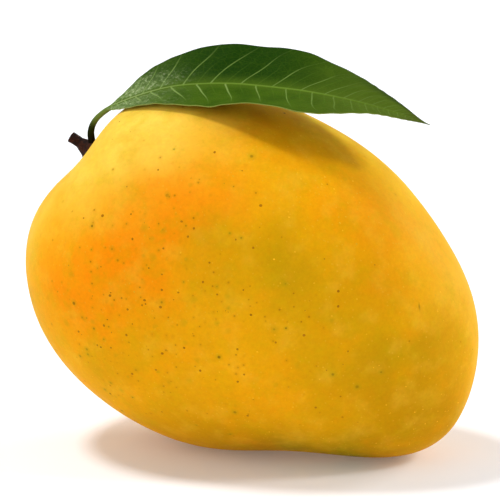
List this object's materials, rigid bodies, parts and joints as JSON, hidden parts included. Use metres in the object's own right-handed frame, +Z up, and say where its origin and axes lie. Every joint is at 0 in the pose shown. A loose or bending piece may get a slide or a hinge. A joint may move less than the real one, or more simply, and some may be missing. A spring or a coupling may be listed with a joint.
{
  "type": "mango",
  "caption": "Whole ripe mango resting on its belly, plump with a low beak, with a flared woody stem stub and a folded lance-shaped leaf lying across its top.",
  "frame": {"origin": "on the surface that the fruit rests on, under the fruit's middle, on its flat resting spot", "axes": "+Z up, +X from the stem end to the beak end, -Y to the broad side that the picture shows"},
  "size_m": [0.1218, 0.0786, 0.1072],
  "materials": {
    "skin": "waxy satin, yellow with an orange blush",
    "bark": "rough dark brown",
    "leaf_green": "satin, dark green with pale veins"
  },
  "bodies": {
    "root": {"fruit": "skin", "stem": "bark", "leaf": "leaf_green"}
  },
  "joints": []
}
